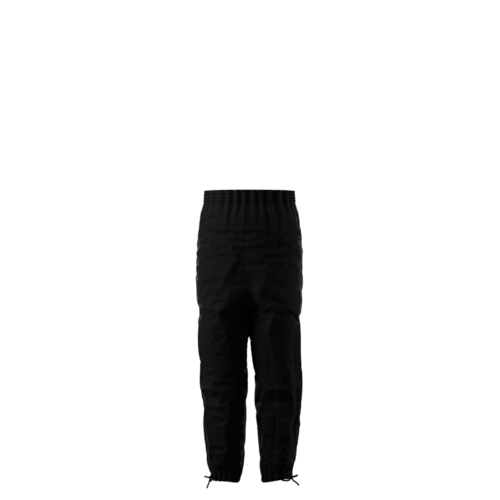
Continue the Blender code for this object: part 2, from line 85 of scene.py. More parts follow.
# Folds and creases: a ridge, or a trough where height is below zero, along a line on a leg. turn is the
# angle round the leg in degrees, 0 at the side seam, 90 at the front, -90 at the back and 180 at the
# inseam. Heights, widths and z are in millimetres. lean widens the side with the larger turn.
FOLD_COLUMNS = ("side", "turn_top", "z_top", "turn_end", "z_end", "width", "height", "lean")
FOLDS = (
    # right leg: the long fold from the outer thigh past the knee to the ankle tie, and its trough
    ("right", 14, -400, 30, -690, 15, 4.5, 1.5),
    ("right", 30, -640, 52, -945, 15, 6.0, 1.4),
    ("right", 8, -640, 26, -930, 15, -4.5, 1.0),
    # right leg: the knee crease and the hollow under it, and the dent over the knee
    ("right", 18, -655, 88, -668, 13, 4.5, 1.0),
    ("right", 26, -690, 74, -694, 14, -4.0, 1.0),
    ("right", -30, -556, 32, -566, 14, -3.0, 1.0),
    # right leg: soft falls down the front of the thigh and shin
    ("right", 74, -150, 96, -520, 22, 4.5, 1.2),
    ("right", 110, -250, 132, -600, 20, -4.0, 1.3),
    ("right", 98, -700, 84, -945, 18, 4.5, 1.3),
    ("right", 136, -640, 128, -930, 18, 4.0, 1.2),
    ("right", 116, -760, 108, -950, 15, -3.5, 1.0),
    # left leg: the same falls, unevenly
    ("left", 22, -330, 16, -760, 18, 4.0, 1.4),
    ("left", 44, -430, 40, -900, 18, -4.5, 1.2),
    ("left", 66, -560, 60, -945, 17, 5.5, 1.3),
    ("left", 84, -140, 104, -560, 22, 5.0, 1.2),
    ("left", 112, -480, 96, -930, 20, -4.0, 1.2),
    ("left", 134, -590, 126, -940, 17, 4.5, 1.2),
    ("left", 60, -650, 132, -676, 15, 3.5, 1.0),
    ("left", 72, -700, 118, -708, 14, -3.0, 1.0),
    ("left", 178, -772, -150, -800, 12, -3.0, 1.0),
    # drag lines from the crotch across the front
    ("left", 158, -372, 82, -296, 15, 4.5, 1.0),
    ("left", 160, -408, 78, -352, 14, 4.0, 1.0),
    ("right", 158, -376, 86, -310, 15, 4.5, 1.0),
    ("right", 160, -414, 74, -372, 14, 3.5, 1.0),
    # back: folds under the seat, falls down the thigh, and creases behind the knee
    ("left", -150, -352, -66, -330, 18, 5.0, 1.0),
    ("left", -152, -392, -50, -384, 16, 4.5, 1.0),
    ("right", -150, -356, -60, -322, 18, 5.0, 1.0),
    ("right", -152, -398, -56, -392, 16, 4.5, 1.0),
    ("left", -70, -410, -84, -640, 22, 5.0, 1.2),
    ("right", -104, -420, -88, -630, 22, 5.0, 1.2),
    ("left", -40, -640, -140, -662, 14, 4.5, 1.0),
    ("left", -52, -690, -132, -682, 14, -4.0, 1.0),
    ("right", -46, -652, -138, -640, 14, 4.5, 1.0),
    ("right", -60, -684, -128, -690, 14, -4.0, 1.0),
    ("left", -96, -700, -80, -940, 20, 5.5, 1.3),
    ("left", -60, -720, -48, -935, 18, -4.5, 1.2),
    ("left", -134, -730, -124, -940, 18, 4.5, 1.2),
    ("right", -78, -700, -94, -940, 20, 5.5, 1.3),
    ("right", -40, -700, -36, -940, 17, 4.5, 1.2),
    ("right", -120, -720, -128, -935, 18, -4.0, 1.2),
    # the smaller creases of the knee, shin and ankle
    ("right", 30, -722, 92, -716, 8, 1.6, 1.0),
    ("right", 40, -744, 96, -752, 7, 1.4, 1.0),
    ("right", 58, -636, 110, -622, 9, 1.8, 1.0),
    ("right", 62, -790, 100, -774, 8, 1.3, 1.0),
    ("right", 24, -612, 70, -590, 9, 1.5, 1.0),
    ("right", 66, -886, 112, -864, 8, 1.5, 1.0),
    ("right", 30, -900, 66, -924, 8, 1.7, 1.0),
    ("left", 30, -640, 74, -622, 9, 1.8, 1.0),
    ("left", 86, -728, 140, -716, 8, 1.6, 1.0),
    ("left", 44, -756, 88, -768, 8, 1.3, 1.0),
    ("left", 96, -816, 138, -800, 8, 1.3, 1.0),
    ("left", 36, -898, 80, -880, 8, 1.6, 1.0),
    ("left", 92, -914, 132, -890, 8, 1.5, 1.0),
    # the smaller creases of the crotch and the seat
    ("left", 156, -444, 108, -398, 9, 2.0, 1.0),
    ("right", 156, -452, 112, -410, 9, 2.0, 1.0),
    ("left", 132, -330, 96, -262, 10, 1.8, 1.0),
    ("right", 130, -336, 98, -276, 10, 1.8, 1.0),
    ("left", 60, -380, 20, -404, 11, 1.8, 1.0),
    ("right", 58, -396, 22, -382, 11, 1.8, 1.0),
    ("left", -150, -430, -86, -420, 10, 2.2, 1.0),
    ("right", -150, -436, -92, -430, 10, 2.2, 1.0),
    ("left", -60, -420, -24, -402, 10, 1.8, 1.0),
    ("right", -58, -412, -22, -428, 10, 1.8, 1.0),
    ("left", -60, -616, -118, -602, 9, 2.0, 1.0),
    ("left", -70, -722, -124, -712, 9, 2.0, 1.0),
    ("right", -64, -610, -122, -618, 9, 2.0, 1.0),
    ("right", -56, -716, -112, -726, 9, 2.0, 1.0),
    ("left", -66, -880, -104, -904, 9, 1.8, 1.0),
    ("right", -70, -900, -112, -880, 9, 1.8, 1.0),
)
FOLD_RADIUS = 100 * MM
FOLD_DEPTH = 1.15
FOLD_WANDER_TURN = math.radians(3.0)
FOLD_WANDER = 5 * MM

# The panels show between the seam under the waistband and the one over the hem casing. So many gathers
# run down each panel from the first and up each leg from the second. Their depths are in millimetres.
WAIST_SEAM = -20 * MM
HEM_SEAM = -964 * MM
WAIST_GATHERS = 8
WAIST_GATHER_DEPTH = 2.6
WAIST_GATHER_SHIFT = {"front": 0.35, "back": -0.3}
ANKLE_GATHERS = 16
ANKLE_GATHER_DEPTH = 2.8

# Crumples between the folds, in millimetres: sharp creases, the slow swell under them and a fine grain.
CREASE_HEIGHT = 0.9
SWELL_HEIGHT = 0.8
GRAIN_HEIGHT = 0.16

# Where the cloth is busiest, and where the thighs press on each other and their meeting line sways: the
# heights in millimetres at which each zone starts, is in full, begins to fade and ends.
KNEE_CREASES = (-560, -620, -720, -800)
CROTCH_CREASES = (-280, -340, -400, -440)
LEGS_TOUCH = (-350, -392, -462, -500)
SWAY = 8 * MM

# Seeds of the uneven fields, one for each kind of fold.
FOLD_SEED = 20
CRUMPLE_SEED = 60
WAIST_SEED = 80
ANKLE_SEED = 90


def smooth_columns():
    """The section table as arrays of metres, with a slope at each row that never overshoots."""
    table = {}
    rows = np.array(SECTIONS, float)[::-1]
    z = rows[:, 0] * MM
    for k, name in enumerate(SECTION_COLUMNS):
        value = rows[:, k] * (1.0 if name == "square" else MM)
        step = np.diff(value) / np.diff(z)
        slope = np.zeros(len(z))
        slope[0], slope[-1] = step[0], step[-1]
        same = step[:-1] * step[1:] > 0
        safe = np.where(same, step[:-1] + step[1:], 1.0)
        slope[1:-1] = np.where(same, 2 * step[:-1] * step[1:] / safe, 0.0)
        table[name] = (z, value, slope)
    return table


SECTION_TABLE = smooth_columns()


def section(name, z):
    """One column of the section table at heights z."""
    at, value, slope = SECTION_TABLE[name]
    i = np.clip(np.searchsorted(at, z) - 1, 0, len(at) - 2)
    span = at[i + 1] - at[i]
    t = np.clip((z - at[i]) / span, 0.0, 1.0)
    return (value[i] * (2 * t**3 - 3 * t**2 + 1) + slope[i] * span * (t**3 - 2 * t**2 + t)
            + value[i + 1] * (3 * t**2 - 2 * t**3) + slope[i + 1] * span * (t**3 - t**2))


def ramp(low, high, x):
    """0 below low, 1 above high, and smooth between; low may be the larger."""
    t = np.clip((x - low) / (high - low), 0.0, 1.0)
    return t * t * (3 - 2 * t)


def bell(distance, width):
    """1 where distance is 0, and falling smoothly to 0 within about twice the width."""
    return np.exp(-((distance / width) ** 2))


def zone(z, start, full, full_end, end):
    """1 at the heights between full and full_end, and fading out to start and end."""
    return ramp(start * MM, full * MM, z) * ramp(end * MM, full_end * MM, z)


def on_face(face, turn):
    """Which points are on the front, the side seam with them, or which are on the back."""
    return (turn >= 0) == (face == "front")


def inner_turn(side, z):
    """The angle at which a panel meets its fellow: the centre plane above the crotch, the inseam below."""
    outer, inner = section(side + "_outer", z), section(side + "_inner", z)
    middle, half = (outer + inner) / 2, (outer - inner) / 2
    reach = np.clip(middle / half, -1.0, 1.0)
    return np.arccos(-np.sign(reach) * np.abs(reach) ** (section("square", z) / 2))


def uneven(turn, z, seed, around, down, terms=9):
    """A smooth uneven field of about unit height, closed round the leg. down is its length in metres."""
    rng = np.random.default_rng(seed)
    total = 0.0
    for _ in range(terms):
        whole = int(rng.integers(-around, around + 1))
        total = total + np.sin(
            whole * turn + rng.uniform(-1, 1) * FULL_TURN / down * z + rng.uniform(0, FULL_TURN))
    return total * math.sqrt(2 / terms)


def fold_height(side, turn, z):
    """How far the folds of the table lift the cloth. Their lines wander a little, as soft cloth's do."""
    seed = FOLD_SEED + SIDES[side]
    turn = turn + FOLD_WANDER_TURN * uneven(turn, z, seed, 3, 0.11)
    z = z + FOLD_WANDER * uneven(turn, z, seed + 7, 4, 0.16)
    total = np.zeros(np.broadcast(turn, z).shape)
    for row in FOLDS:
        fold = dict(zip(FOLD_COLUMNS, row))
        if fold["side"] != side:
            continue
        first, last = math.radians(fold["turn_top"]), math.radians(fold["turn_end"])
        if last - first > math.pi:
            last -= FULL_TURN
        if first - last > math.pi:
            last += FULL_TURN
        middle = (first + last) / 2
        around = ((turn - middle + math.pi) % FULL_TURN - math.pi) * FOLD_RADIUS
        run = np.array([(last - first) * FOLD_RADIUS, (fold["z_end"] - fold["z_top"]) * MM])
        length = float(np.hypot(*run))
        down = z - (fold["z_top"] + fold["z_end"]) / 2 * MM
        along = (around * run[0] + down * run[1]) / length**2 + 0.5
        across = (around * run[1] - down * run[0]) / length * -np.sign(run[1])
        width = np.where(across > 0, fold["width"] * fold["lean"], fold["width"]) * MM
        fade = ramp(-0.05, 0.3, along) * ramp(1.05, 0.75, along)
        crest = 0.85 * np.exp(-np.abs(across / width) ** 1.6) + 0.3 * bell(across, 0.4 * width)
        total += FOLD_DEPTH * fold["height"] * MM * fade * crest
    return total


def crumple_height(side, turn, z):
    """Fine soft creases where the field passes through zero, and a slow swell under them."""
    seed = CRUMPLE_SEED + 5 * SIDES[side]
    field = uneven(turn, z, seed, 7, 0.14, 12)
    strength = 0.5 + 0.5 * np.tanh(1.6 * uneven(turn, z, seed + 1, 3, 0.3))
    busy = 0.35 + 0.65 * (
        zone(z, *KNEE_CREASES) + ramp(-860 * MM, -920 * MM, z) + zone(z, *CROTCH_CREASES))
    creases = bell(field, 0.16) * strength * busy
    swell = uneven(turn, z, seed + 2, 5, 0.22)
    grain = uneven(turn, z, seed + 3, 16, 0.06)
    return (CREASE_HEIGHT * creases + SWELL_HEIGHT * swell + GRAIN_HEIGHT * grain) * MM


def waist_wave(side, face, u, drop):
    """The gathers under the waistband, drop below it: some die out in 3 cm and some run down for 15."""
    shift = WAIST_GATHER_SHIFT[face] * np.sin(FULL_TURN * u)
    deep = 1 + 0.3 * np.sin(math.pi * u) * np.sin(7.3 * u + SIDES[side] + 2 * FACES[face])
    gather = WAIST_GATHERS * u + shift
    rng = np.random.default_rng(WAIST_SEED + 2 * SIDES[side] + FACES[face])
    each = rng.uniform(0.0, 1.0, WAIST_GATHERS + 2)
    each[[0, 1, -2, -1]] = 0.3
    reach = (35 + 115 * np.interp(gather + 0.5, np.arange(len(each)), each) ** 1.5) * MM
    fade = np.exp(-((drop / reach) ** 1.4))
    pinch = 0.8 * np.cos(FULL_TURN * (2.35 * WAIST_GATHERS * u + 0.2)) * np.exp(-drop / (14 * MM))
    wave = -WAIST_GATHER_DEPTH * MM * np.cos(FULL_TURN * gather) * deep * fade
    return wave + 0.6 * MM * pinch * np.sin(math.pi * u)


def ankle_wave(side, turn, rise):
    """The gathers over the hem casing, rise above it."""
    phase = 0.9 * np.sin(turn + SIDES[side]) + 0.6 * np.sin(2 * turn + 2.1 * SIDES[side])
    deep = 1 + 0.25 * np.sin(3 * turn + SIDES[side])
    rise = np.maximum(rise, 0.0)
    vary = uneven(turn, 0 * turn, ANKLE_SEED + SIDES[side], 5, 1.0)
    reach = np.maximum((38 + 26 * vary + 12 * np.cos(2 * turn)) * MM, 16 * MM)
    fade = np.exp(-((rise / reach) ** 1.5))
    pinch = 0.6 * np.cos(37 * turn + 2 * np.sin(turn)) * np.exp(-rise / (10 * MM))
    return (ANKLE_GATHER_DEPTH * np.cos(ANKLE_GATHERS * turn + phase) * deep * fade + pinch) * MM


def base_point(side, turn, z):
    """A point of the plain section. turn is above zero on the front and below it on the back."""
    outer, inner = section(side + "_outer", z), section(side + "_inner", z)
    depth = np.where(np.sin(turn) >= 0, section("front", z), section("back", z))
    square = section("square", z)
    middle, half = (outer + inner) / 2, (outer - inner) / 2
    cosine, sine = np.cos(turn), np.sin(turn)
    x = SIDES[side] * (middle + half * np.sign(cosine) * np.abs(cosine) ** (2 / square))
    y = section("mid", z) - depth * np.sign(sine) * np.abs(sine) ** (2 / square)
    return np.stack([x, y, z + 0 * x], axis=-1)


# The panels are cut a little longer and wider than the worn form, and the spare cloth settles under its
# weight between the waistband and the hem casings into soft, uneven crumples. A coarse grid of all four
# panels, sewn together, is settled, and the pieces read from it how far each point has moved.
SETTLE_ROWS = 110
SETTLE_COLUMNS = 27
settled = {}


def cubic_weights(t):
    """The weights of the four grid points about a place t of the way from the second to the third."""
    return (0.5 * (-t**3 + 2 * t**2 - t), 0.5 * (3 * t**3 - 5 * t**2 + 2),
            0.5 * (-3 * t**3 + 4 * t**2 + t), 0.5 * (t**3 - t**2))


def settled_shift(side, turn, z):
    """How far settling has moved the cloth, read smoothly from the grid."""
    shift = np.zeros(turn.shape + (3,))
    if not settled:
        return shift
    across = np.clip(np.abs(turn) / inner_turn(side, z), 0.0, 1.0) * (SETTLE_COLUMNS - 1)
    down = np.clip((WAIST_SEAM - z) / (WAIST_SEAM - HEM_SEAM), 0.0, 1.0) * (SETTLE_ROWS - 1)
    i, j = np.floor(down).astype(int), np.floor(across).astype(int)
    for face in FACES:
        total = 0.0
        for a, weight_down in enumerate(cubic_weights(down - i)):
            for b, weight_across in enumerate(cubic_weights(across - j)):
                row = np.clip(i + a - 1, 0, SETTLE_ROWS - 1)
                column = np.clip(j + b - 1, 0, SETTLE_COLUMNS - 1)
                total = total + settled[side, face][row, column] * (weight_down * weight_across)[..., None]
        shift = np.where(on_face(face, turn)[..., None], total, shift)
    return shift


def cloth_normal(side, turn, z):
    """The direction straight out of the plain section."""
    nudge, step = 0.004, 0.5 * MM
    round_it = base_point(side, turn + nudge, z) - base_point(side, turn - nudge, z)
    share = turn / inner_turn(side, z)
    down_it = (base_point(side, share * inner_turn(side, z - step), z - step)
               - base_point(side, share * inner_turn(side, z + step), z + step))
    normal = np.cross(round_it, down_it) * SIDES[side]
    return normal / np.linalg.norm(normal, axis=-1, keepdims=True)


def fold_lift(side, turn, z):
    """How far folds, crumples and gathers lift the cloth. The seams that hold it calm the first two."""
    u = np.clip(np.abs(turn) / inner_turn(side, z), 0.0, 1.0)
    drop = np.maximum(WAIST_SEAM - z, 0.0)
    calm = 1 - ramp(0.84, 0.97, u) * ramp(-520 * MM, -470 * MM, z)
    height = (fold_height(side, turn, z) + crumple_height(side, turn, z)) * calm
    height = height * ramp(0.0, 40 * MM, drop)
    height = height * (1 - 0.75 * ramp(-925 * MM, HEM_SEAM, z))
    for face in FACES:
        height = height + np.where(on_face(face, turn), waist_wave(side, face, u, drop), 0.0)
    return height + ankle_wave(side, turn, z - HEM_SEAM)


def cloth_point(side, turn, z, out):
    """A point of the worn cloth with all its folds, out along its normal. turn and z are arrays."""
    turn, z = np.broadcast_arrays(np.asarray(turn, float), np.asarray(z, float))
    height = fold_lift(side, turn, z) + out
    point = base_point(side, turn, z) + cloth_normal(side, turn, z) * height[..., None]
    lift = HEM_LIFT[side]
    raised = lift["round"] + lift["outer"] * np.cos(turn) + lift["front"] * np.sin(turn) ** 2
    point[..., 2] += raised * MM * ramp(-880 * MM, HEM_SEAM, z)
    x, y = point[..., 0], point[..., 1]
    sway = SWAY * np.sin(y * math.pi / (44 * MM)) * bell(y, 52 * MM)
    point[..., 0] = x + zone(z, *LEGS_TOUCH) * sway * bell(x, 45 * MM)
    return point + settled_shift(side, turn, z)


SPARE_CLOTH = (1.007, 1.007, 1.020)
SETTLE_FRAMES = 30
FITTED_FRAME = 13               # by then the cut has been drawn in to the worn form
SETTLE_MOST = 5 * MM
CALM_HOLD = 0.32                # how firmly the worn form holds the cloth on the thigh
BUSY_HOLD = 0.17                # and more loosely at the knee, crotch and ankle
KNEE_LOOSE = (-560, -640, -720, -800)
CROTCH_LOOSE = (-260, -330, -400, -460)
THIGHS_TOUCH = (-350, -380, -520, -580)


def panel_grid():
    """Points of all four panels, and each panel's grid of point numbers, shared along the seams."""
    levels = np.linspace(WAIST_SEAM, HEM_SEAM, SETTLE_ROWS)
    z = np.broadcast_to(levels[:, None], (SETTLE_ROWS, SETTLE_COLUMNS))
    number, points = {}, []
    for side in SIDES:
        for face in FACES:
            turn = np.linspace(1e-9, 1, SETTLE_COLUMNS) * inner_turn(side, z) * FACES[face]
            number[side, face] = np.arange(z.size).reshape(z.shape) + len(points) * z.size
            points.append(cloth_point(side, turn, z, np.zeros(z.shape)).reshape(-1, 3))
    joined = section("left_inner", levels) < 0
    for side in SIDES:
        number[side, "back"][:, 0] = number[side, "front"][:, 0]
        number[side, "back"][~joined, -1] = number[side, "front"][~joined, -1]
    for face in FACES:
        number["right", face][joined, -1] = number["left", face][joined, -1]
    return np.concatenate(points), number


def hold_weights(worn):
    """How firmly the worn form holds each point: wholly at the seams and where the thighs press."""
    x, z = worn[:, 0], worn[:, 2]
    busy = np.maximum(np.maximum(zone(z, *KNEE_LOOSE), 0.8 * zone(z, *CROTCH_LOOSE)),
                      ramp(-840 * MM, -900 * MM, z))
    held = CALM_HOLD + (BUSY_HOLD - CALM_HOLD) * busy
    thighs = bell(x, 26 * MM) * zone(z, *THIGHS_TOUCH)
    ends = np.maximum(ramp(-60 * MM, WAIST_SEAM, z), ramp(-935 * MM, -955 * MM, z))
    return held + (1 - held) * np.maximum(thighs, ends)


def hang(guide):
    """Lets a piece of cloth hang from its held points, and gives where all its points come to rest."""
    modifier = guide.modifiers.new("settle", "CLOTH")
    cloth = modifier.settings
    cloth.quality = 5
    cloth.mass = 0.004
    cloth.tension_stiffness = cloth.compression_stiffness = 60
    cloth.shear_stiffness = 15
    cloth.bending_stiffness = 2.5
    cloth.tension_damping = cloth.compression_damping = 5
    cloth.air_damping = 2
    cloth.vertex_group_mass = "hold"
    cloth.pin_stiffness = 1
    modifier.collision_settings.use_collision = False
    modifier.collision_settings.use_self_collision = False
    modifier.point_cache.frame_start = 1
    modifier.point_cache.frame_end = SETTLE_FRAMES
    for frame_number in range(1, SETTLE_FRAMES + 1):
        bpy.context.scene.frame_set(frame_number)
    result = guide.evaluated_get(bpy.context.evaluated_depsgraph_get()).to_mesh()
    rest = np.empty(3 * len(result.vertices), np.float32)
    result.vertices.foreach_get("co", rest)
    bpy.context.scene.frame_set(1)
    return rest.reshape(-1, 3)


def settle():
    """Lets the spare cloth settle, and keeps how far each point of the panels has moved."""
    points, number = panel_grid()
    faces = []
    for (side, face), grid in number.items():
        corners = np.stack([grid[:-1, :-1], grid[:-1, 1:], grid[1:, 1:], grid[1:, :-1]], axis=-1)
        corners = corners.reshape(-1, 4)
        faces.append(corners[:, ::-1] if SIDES[side] * FACES[face] < 0 else corners)
    used, faces = np.unique(np.concatenate(faces), return_inverse=True)
    worn = points[used]
    mesh = bpy.data.meshes.new("settling cloth")
    mesh.from_pydata((worn * SPARE_CLOTH).tolist(), [], faces.reshape(-1, 4).tolist())
    guide = bpy.data.objects.new("settling cloth", mesh)
    bpy.context.scene.collection.objects.link(guide)
    guide.shape_key_add(name="cut")
    fitted = guide.shape_key_add(name="worn")
    fitted.data.foreach_set("co", worn.astype(np.float32).ravel())
    for frame_number, value in ((1, 0.0), (FITTED_FRAME, 1.0)):
        fitted.value = value
        fitted.keyframe_insert("value", frame=frame_number)
    hold = guide.vertex_groups.new(name="hold")
    for vertex, weight in enumerate(hold_weights(worn)):
        hold.add([vertex], float(weight), "REPLACE")
    moved = hang(guide) - worn
    bpy.data.objects.remove(guide)
    size = np.linalg.norm(moved, axis=1, keepdims=True)
    shift = np.zeros_like(points)
    shift[used] = moved / np.sqrt(1 + (size / SETTLE_MOST) ** 2)
    for key, grid in number.items():
        settled[key] = shift[grid]


settle()


def linear(code):
    """An sRGB hex colour as a linear one."""
    parts = [int(code[i:i + 2], 16) / 255 for i in (1, 3, 5)]
    return tuple(c / 12.92 if c <= 0.04045 else ((c + 0.055) / 1.055) ** 2.4 for c in parts) + (1.0,)


def feed(tree, node, inputs):
    """Links each input of a node that is given as a socket, and sets any other."""
    for name, value in inputs.items():
        if isinstance(value, bpy.types.NodeSocket):
            tree.links.new(value, node.inputs[name])
        else:
            node.inputs[name].default_value = value


def add_node(tree, kind, inputs=None, **settings):
    """Adds a node with its settings and links."""
    made = tree.nodes.new(kind)
    for name, value in settings.items():
        setattr(made, name, value)
    feed(tree, made, inputs or {})
    return made


def maths(tree, operation, *values):
    """A node that reckons with sockets or numbers."""
    return add_node(tree, "ShaderNodeMath", dict(enumerate(values)), operation=operation).outputs[0]


def blend(tree, share, first, second):
    """A colour this share of the way from the first to the second."""
    return add_node(tree, "ShaderNodeMix", {0: share, 6: first, 7: second}, data_type="RGBA").outputs[2]


def new_material(name):
    """A new material, its tree and its shader."""
    material = bpy.data.materials.new(name)
    material.use_nodes = True
    return material, material.node_tree, material.node_tree.nodes["Principled BSDF"]


# Black slubbed cotton, plain weave, reactive dyed and washed once: matt, with a faint purple cast,
# thick places in the yarn that catch the light, and a paler bloom of lint on its folded edges.
# The yarns lie 0.5 mm apart, too fine to show, so the drawn weave is three times as coarse.
YARN_SPACING = 1.5 * MM
SLUB_LENGTH = 30 * MM
SLUB_WIDTH = 1.1 * MM
WAVE_PERIOD = 0.31416           # the wave texture's period at scale 1, in its own units
DYE = ("#0B090C", "#110E12")    # where it took deeply, and where it took less
SLUB_COLOUR = "#1F1B21"
SLUB_SHARE = 0.38               # how much of its colour a slub shows through the dye
WORN_COLOUR = "#262127"
BLOOM = "#CFC4DC"
WEAVE_RELIEF = 0.25 * MM


def slubbed_cotton(name):
    material, tree, shader = new_material(name)
    place = add_node(tree, "ShaderNodeUVMap", uv_map="cloth").outputs[0]
    warp, weft = (add_node(tree, "ShaderNodeTexWave", {
        "Vector": place, "Scale": WAVE_PERIOD / YARN_SPACING, "Distortion": 1.2,
        "Detail Scale": 0.3}, bands_direction=way).outputs["Fac"] for way in "XY")
    weave = maths(tree, "ADD", warp, weft)
    slubs = []
    for across, along in ((1 / SLUB_WIDTH, 1 / SLUB_LENGTH), (1 / SLUB_LENGTH, 1 / SLUB_WIDTH)):
        stretched = add_node(tree, "ShaderNodeMapping", {"Vector": place, "Scale": (across, along, 1)})
        streak = add_node(tree, "ShaderNodeTexNoise", {
            "Vector": stretched.outputs[0], "Scale": 1.0, "Detail": 2.0}).outputs["Fac"]
        slubs.append(add_node(tree, "ShaderNodeMapRange", {
            "Value": streak, "From Min": 0.54, "From Max": 0.72}).outputs[0])
    slub = maths(tree, "MAXIMUM", *slubs)
    place_in_room = add_node(tree, "ShaderNodeTexCoord").outputs["Object"]
    cloudy = add_node(tree, "ShaderNodeTexNoise", {
        "Vector": place_in_room, "Scale": 9.0, "Detail": 5.0, "Roughness": 0.6}).outputs["Fac"]
    ground = blend(tree, cloudy, linear(DYE[0]), linear(DYE[1]))
    slub_shown = maths(tree, "MULTIPLY", slub, SLUB_SHARE)
    yarns = blend(tree, slub_shown, ground, linear(SLUB_COLOUR))
    worn = add_node(tree, "ShaderNodeAttribute", attribute_name="wear").outputs["Fac"]
    patchy = maths(tree, "MULTIPLY", worn, cloudy)
    colour = blend(tree, patchy, yarns, linear(WORN_COLOUR))
    rough = add_node(tree, "ShaderNodeMapRange", {
        "Value": slub, "To Min": 0.86, "To Max": 0.74}).outputs[0]
    thick = maths(tree, "MULTIPLY_ADD", slub, 2.0, weave)
    fuzz = add_node(tree, "ShaderNodeTexNoise", {
        "Vector": place_in_room, "Scale": 240.0, "Detail": 3.0}).outputs["Fac"]
    relief = maths(tree, "MULTIPLY_ADD", fuzz, 1.4, thick)
    bump = add_node(tree, "ShaderNodeBump", {
        "Height": relief, "Strength": 0.5, "Distance": WEAVE_RELIEF}).outputs[0]
    feed(tree, shader, {
        "Base Color": colour, "Roughness": rough, "Specular IOR Level": 0.06, "Sheen Weight": 0.03,
        "Sheen Roughness": 0.4, "Sheen Tint": linear(BLOOM), "Normal": bump})
    return material


cotton = slubbed_cotton("black slubbed cotton")

PANEL_TOP = -14 * MM            # the panel runs up into the waistband
PANEL_END = -968 * MM           # and down into the hem casing
PANEL_INSET = 1.6 * MM          # how far in it lies there
PANEL_ROWS = 320
PANEL_COLUMNS = 84
CLOTH_THICKNESS = 0.9 * MM
LAP = 9 * MM                    # a felled seam's allowance, under the panel in front of it
SPARE_TURN = 0.12               # how far past its seams a row is measured, for the laps
SEAM_STEPS = (0.0, 0.8, 1.7, 2.8, 4.2, 5.6, 6.8, 8.2)
SEAM_PUCKER = 0.25 * MM
UNDER_DIP = 1.7 * MM            # how far the lapped allowance lies under its fellow
EDGE_DIP = 0.45 * MM
FELLED_RISE = 0.5 * MM
STITCH_DIP = 0.45 * MM
STITCH_FROM_SEAM = 6 * MM


def seam_shape(distance, z, under):
    """How far the cloth stands off its plain surface near a felled seam."""
    pucker = SEAM_PUCKER * np.sin(FULL_TURN * z / (11 * MM) + 3 * np.sin(z / (37 * MM)))
    if under:
        return (-UNDER_DIP * ramp(2.6 * MM, -0.2 * MM, distance)
                + pucker * bell(distance, 9 * MM) * ramp(-1 * MM, 3 * MM, distance))
    edge = -EDGE_DIP * bell(distance, 0.9 * MM)
    felled = FELLED_RISE * ramp(9.5 * MM, 6.0 * MM, distance)
    stitched = -STITCH_DIP * bell(distance - STITCH_FROM_SEAM, 1.3 * MM)
    return edge + felled + stitched + pucker * bell(distance, 11 * MM)


def lies_under(side, face, z):
    """Whether a panel laps under its fellow: the back does at the inseam, and the left at the centre."""
    joined = section(side + "_inner", z) < 0
    return np.where(joined, side == "left", face == "back")


def measured_row(side, face, z):
    """One row of a panel: its turns, their length from the side seam, and the inner seam's length."""
    limit = float(inner_turn(side, np.array(z)))
    turns = np.linspace(-SPARE_TURN, limit + SPARE_TURN, 260)
    line = base_point(side, FACES[face] * turns, np.full(turns.shape, z))
    length = np.concatenate([[0], np.cumsum(np.linalg.norm(np.diff(line, axis=0), axis=1))])
    at_side, at_inner = np.interp([0.0, limit], turns, length)
    return turns * FACES[face], length - at_side, at_inner - at_side


def panel_row(side, face, z):
    """The turns of one row's points, and how far each lies from the side seam and the inner seam."""
    turns, length, width = measured_row(side, face, z)
    steps = np.array(SEAM_STEPS) * MM
    laps = np.array([-LAP, -LAP / 2, -1.2 * MM])
    edges = np.array([-0.45, -0.3, -0.15]) * MM
    first = laps if face == "back" else edges
    last = laps if lies_under(side, face, z) else edges
    inside = np.linspace(steps[-1], width - steps[-1], PANEL_COLUMNS + 1)[1:-1]
    from_side = np.concatenate([first, steps, inside, width - steps[::-1], width - last[::-1]])
    return np.interp(from_side, length, turns), from_side, width - from_side


def grid_mesh(name, points, uv, wear, closed_rows=False, closed_columns=False, flip=False):
    """A mesh from a grid of points (row, column), with the cloth's own UVs in metres."""
    rows, columns = points.shape[:2]
    index = np.arange(rows * columns).reshape(rows, columns)
    if closed_rows:
        index = np.concatenate([index, index[:1]])
    if closed_columns:
        index = np.concatenate([index, index[:, :1]], axis=1)
    turns_round = ((0, 0), (0, 1), (1, 1), (1, 0))
    if flip:
        turns_round = turns_round[::-1]
    down, across = index.shape[0] - 1, index.shape[1] - 1
    faces = np.stack([index[i:i + down, j:j + across] for i, j in turns_round], axis=-1).reshape(-1, 4)
    corners = np.stack([uv[i:i + down, j:j + across] for i, j in turns_round], axis=2).reshape(-1, 2)
    mesh = bpy.data.meshes.new(name)
    mesh.from_pydata(points.reshape(-1, 3).tolist(), [], faces.tolist())
    mesh.uv_layers.new(name="cloth").data.foreach_set("uv", corners.astype(np.float32).ravel())
    mesh.attributes.new("wear", "FLOAT", "POINT").data.foreach_set("value", wear.astype(np.float32).ravel())
    mesh.shade_smooth()
    mesh.update()
    return mesh


def show(name, mesh, material=None):
    """Puts a piece in the scene at the origin."""
    if material is not None:
        mesh.materials.append(material)
    piece = bpy.data.objects.new(name, mesh)
    bpy.context.scene.collection.objects.link(piece)
    return piece


def fit(piece, node):
    """Fixes a finished piece to the garment in the place of its plain form."""
    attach(piece, "root")
    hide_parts(node)


